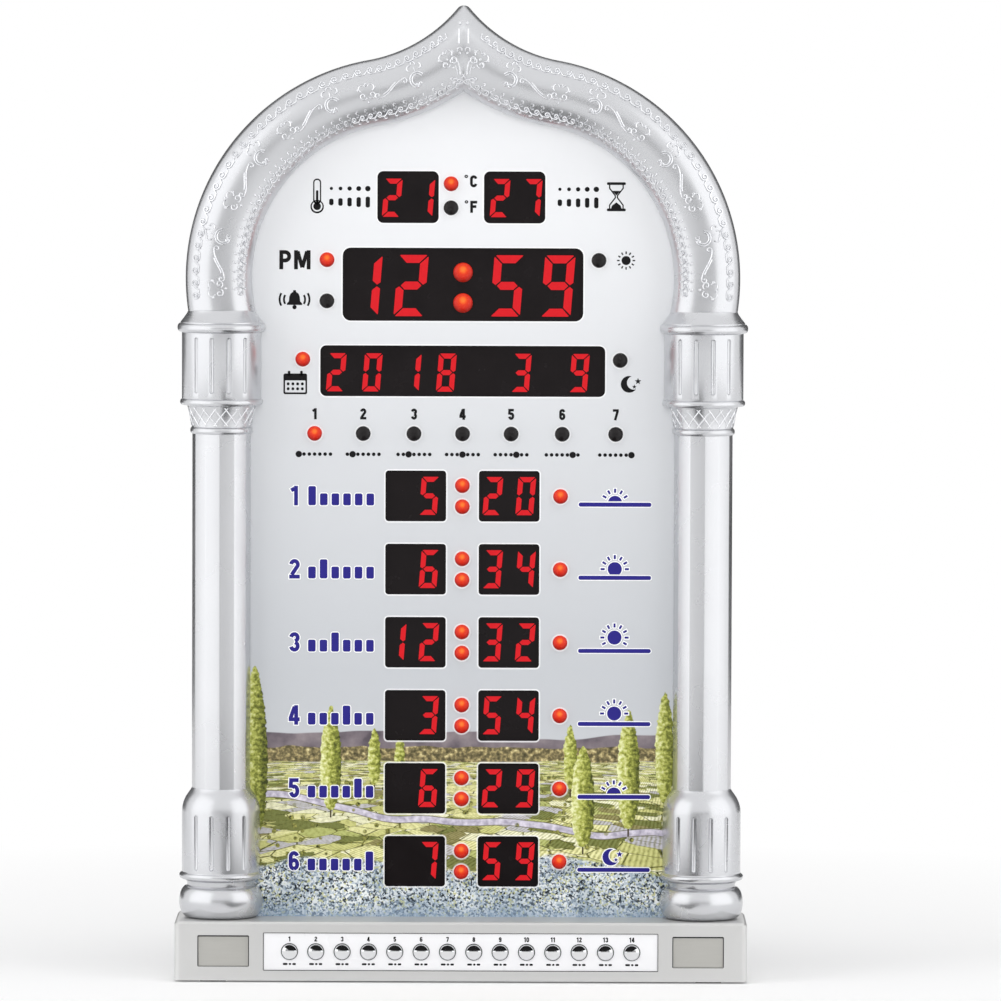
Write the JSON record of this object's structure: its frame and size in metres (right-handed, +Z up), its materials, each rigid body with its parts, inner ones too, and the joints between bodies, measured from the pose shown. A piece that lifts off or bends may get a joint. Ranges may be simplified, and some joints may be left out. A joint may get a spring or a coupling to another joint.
{
  "type": "azan clock",
  "caption": "Arch-framed prayer-time clock with columns, plinth, red seven-segment displays, lamp lenses and a row of push buttons",
  "frame": {"origin": "under the middle of the plinth, on the surface that the feet stand on", "axes": "+Z up, +X to the right seen from the front, +Y from the front to the back"},
  "size_m": [0.314, 0.06, 0.5352],
  "materials": {
    "silver_paint": "satin silver paint on moulded plastic",
    "printed_sheet": "grey graduated print under a clear gloss face",
    "grey_moulding": "moulded, fine texture",
    "pale_moulding": "moulded, fine texture",
    "label_white": "printed strip",
    "display_black": "black face with red segments",
    "lens_lit": "lit red lamp lens",
    "lens_dark": "unlit smoked lamp lens",
    "chip_white": "moulded",
    "button_chrome": "chrome-plated moulded cap",
    "switch_black": "moulded",
    "board_green": "solder mask",
    "inset_metal": "brushed",
    "plated_steel": "zinc plated",
    "cable_grey": "cable sheath",
    "rubber_black": "matt"
  },
  "bodies": {
    "clock": {"arch_moulding": "silver_paint", "back_shell": "pale_moulding", "board_chips": "switch_black", "button_board": "board_green", "button_plate": "label_white", "button_switches": "switch_black", "coin_cell": "plated_steel", "coin_cell_holder": "switch_black", "colon_lenses": "lens_lit", "countdown_display": "display_black", "dark_lamp_lenses": "lens_dark", "date_display": "display_black", "dc_jack": "switch_black", "display_board": "board_green", "front_frame": "grey_moulding", "front_panel": "printed_sheet", "hanger_plates": "plated_steel", "hour_display_1": "display_black", "hour_display_2": "display_black", "hour_display_3": "display_black", "hour_display_4": "display_black", "hour_display_5": "display_black", "hour_display_6": "display_black", "internal_leads": "cable_grey", "ir_receiver": "switch_black", "lamp_chips": "chip_white", "left_column": "silver_paint", "left_inset_plate": "inset_metal", "lit_lamp_lenses": "lens_lit", "main_board": "board_green", "minute_display_1": "display_black", "minute_display_2": "display_black", "minute_display_3": "display_black", "minute_display_4": "display_black", "minute_display_5": "display_black", "minute_display_6": "display_black", "plinth_base_cover": "pale_moulding", "plinth_housing": "silver_paint", "ribbon_cable": "cable_grey", "right_column": "silver_paint", "right_inset_plate": "inset_metal", "rubber_feet": "rubber_black", "speaker": "switch_black", "temperature_display": "display_black", "temperature_sensor": "switch_black", "time_display": "display_black"},
    "button_01": {"button_01": "button_chrome"},
    "button_02": {"button_02": "button_chrome"},
    "button_03": {"button_03": "button_chrome"},
    "button_04": {"button_04": "button_chrome"},
    "button_05": {"button_05": "button_chrome"},
    "button_06": {"button_06": "button_chrome"},
    "button_07": {"button_07": "button_chrome"},
    "button_08": {"button_08": "button_chrome"},
    "button_09": {"button_09": "button_chrome"},
    "button_10": {"button_10": "button_chrome"},
    "button_11": {"button_11": "button_chrome"},
    "button_12": {"button_12": "button_chrome"},
    "button_13": {"button_13": "button_chrome"},
    "button_14": {"button_14": "button_chrome"}
  },
  "joints": [
    {"name": "button_01_press", "type": "slide", "parent": "clock", "child": "button_01", "axis": [0, 1, 0], "range_m": [0, 0.0005], "stiffness_N_per_m": 3000},
    {"name": "button_02_press", "type": "slide", "parent": "clock", "child": "button_02", "axis": [0, 1, 0], "range_m": [0, 0.0005], "stiffness_N_per_m": 3000},
    {"name": "button_03_press", "type": "slide", "parent": "clock", "child": "button_03", "axis": [0, 1, 0], "range_m": [0, 0.0005], "stiffness_N_per_m": 3000},
    {"name": "button_04_press", "type": "slide", "parent": "clock", "child": "button_04", "axis": [0, 1, 0], "range_m": [0, 0.0005], "stiffness_N_per_m": 3000},
    {"name": "button_05_press", "type": "slide", "parent": "clock", "child": "button_05", "axis": [0, 1, 0], "range_m": [0, 0.0005], "stiffness_N_per_m": 3000},
    {"name": "button_06_press", "type": "slide", "parent": "clock", "child": "button_06", "axis": [0, 1, 0], "range_m": [0, 0.0005], "stiffness_N_per_m": 3000},
    {"name": "button_07_press", "type": "slide", "parent": "clock", "child": "button_07", "axis": [0, 1, 0], "range_m": [0, 0.0005], "stiffness_N_per_m": 3000},
    {"name": "button_08_press", "type": "slide", "parent": "clock", "child": "button_08", "axis": [0, 1, 0], "range_m": [0, 0.0005], "stiffness_N_per_m": 3000},
    {"name": "button_09_press", "type": "slide", "parent": "clock", "child": "button_09", "axis": [0, 1, 0], "range_m": [0, 0.0005], "stiffness_N_per_m": 3000},
    {"name": "button_10_press", "type": "slide", "parent": "clock", "child": "button_10", "axis": [0, 1, 0], "range_m": [0, 0.0005], "stiffness_N_per_m": 3000},
    {"name": "button_11_press", "type": "slide", "parent": "clock", "child": "button_11", "axis": [0, 1, 0], "range_m": [0, 0.0005], "stiffness_N_per_m": 3000},
    {"name": "button_12_press", "type": "slide", "parent": "clock", "child": "button_12", "axis": [0, 1, 0], "range_m": [0, 0.0005], "stiffness_N_per_m": 3000},
    {"name": "button_13_press", "type": "slide", "parent": "clock", "child": "button_13", "axis": [0, 1, 0], "range_m": [0, 0.0005], "stiffness_N_per_m": 3000},
    {"name": "button_14_press", "type": "slide", "parent": "clock", "child": "button_14", "axis": [0, 1, 0], "range_m": [0, 0.0005], "stiffness_N_per_m": 3000}
  ]
}
